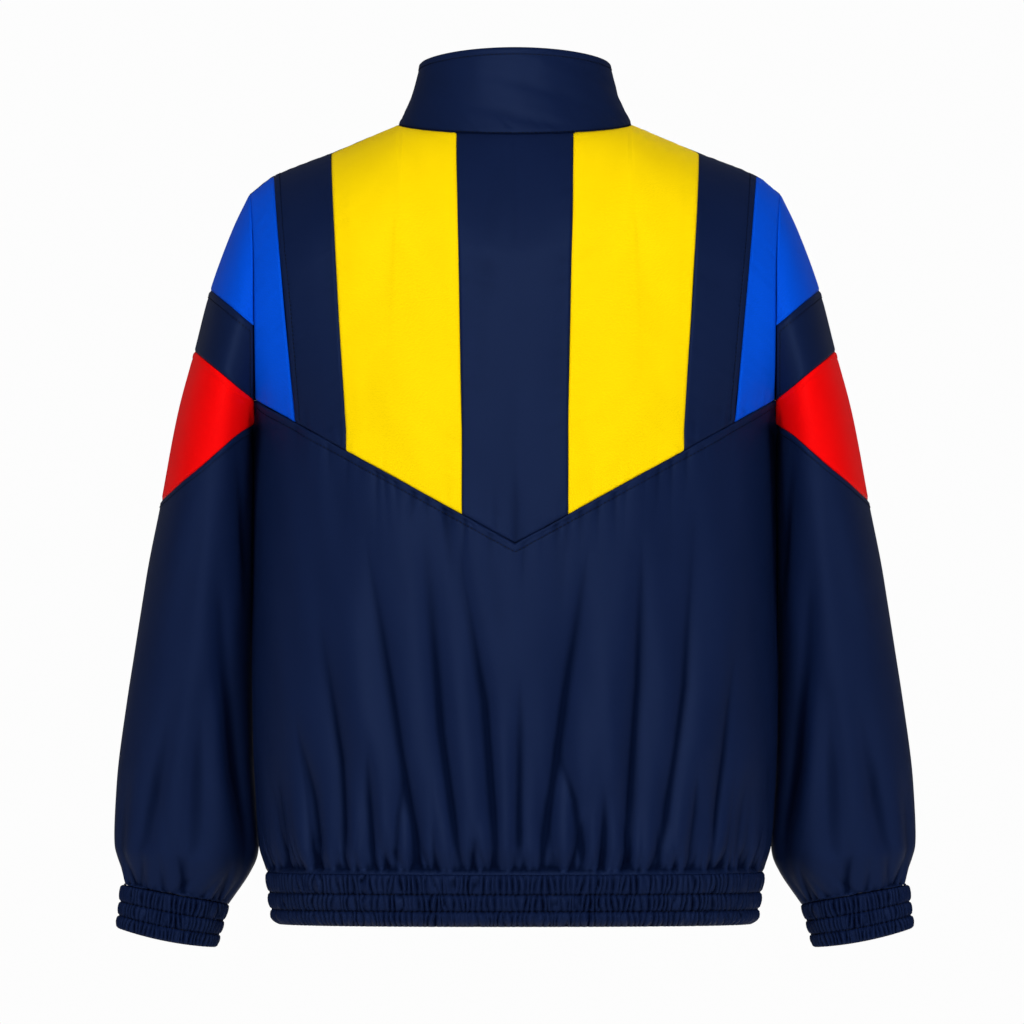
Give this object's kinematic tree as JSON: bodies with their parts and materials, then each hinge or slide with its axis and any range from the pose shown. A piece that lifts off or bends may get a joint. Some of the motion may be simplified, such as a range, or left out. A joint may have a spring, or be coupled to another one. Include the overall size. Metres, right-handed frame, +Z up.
{
  "type": "windbreaker jacket",
  "caption": "Hollow stand-collar windbreaker jacket with a zip front, gathered hem band and cuffs, and colour-blocked back and sleeves.",
  "frame": {"origin": "neck base: the point midway between the two neck ends of the shoulder seams, where the wearer's neck and shoulders hold the garment", "axes": "+Z up, front faces -Y, back faces +Y, the wearer's left is +X"},
  "size_m": [0.7042, 0.2608, 0.7859],
  "materials": {
    "navy_cloth": "smooth",
    "yellow_cloth": "smooth",
    "blue_cloth": "smooth",
    "red_cloth": "smooth",
    "elastic_cloth": "shirred",
    "zip_tape": "woven",
    "zip_metal": "polished"
  },
  "bodies": {
    "jacket": {"back_centre": "navy_cloth", "back_lower": "navy_cloth", "collar": "navy_cloth", "hem_band": "elastic_cloth", "zip_slider": "zip_metal", "back_yellow_l": "yellow_cloth", "back_navy_l": "navy_cloth", "back_blue_l": "blue_cloth", "front_l": "navy_cloth", "sleeve_cap_l": "blue_cloth", "sleeve_band_l": "navy_cloth", "sleeve_red_l": "red_cloth", "sleeve_lower_l": "navy_cloth", "cuff_l": "elastic_cloth", "zip_tape_l": "zip_tape", "back_yellow_r": "yellow_cloth", "back_navy_r": "navy_cloth", "back_blue_r": "blue_cloth", "front_r": "navy_cloth", "sleeve_cap_r": "blue_cloth", "sleeve_band_r": "navy_cloth", "sleeve_red_r": "red_cloth", "sleeve_lower_r": "navy_cloth", "cuff_r": "elastic_cloth", "zip_tape_r": "zip_tape"},
    "pull_tab": {"zip_pull": "zip_metal"}
  },
  "joints": [
    {"name": "zip_pull_hinge", "type": "hinge", "parent": "jacket", "child": "pull_tab", "pos_m": [0, -0.08352, -0.00423], "axis": [-1, 0, 0], "range_deg": [0, 150]}
  ]
}
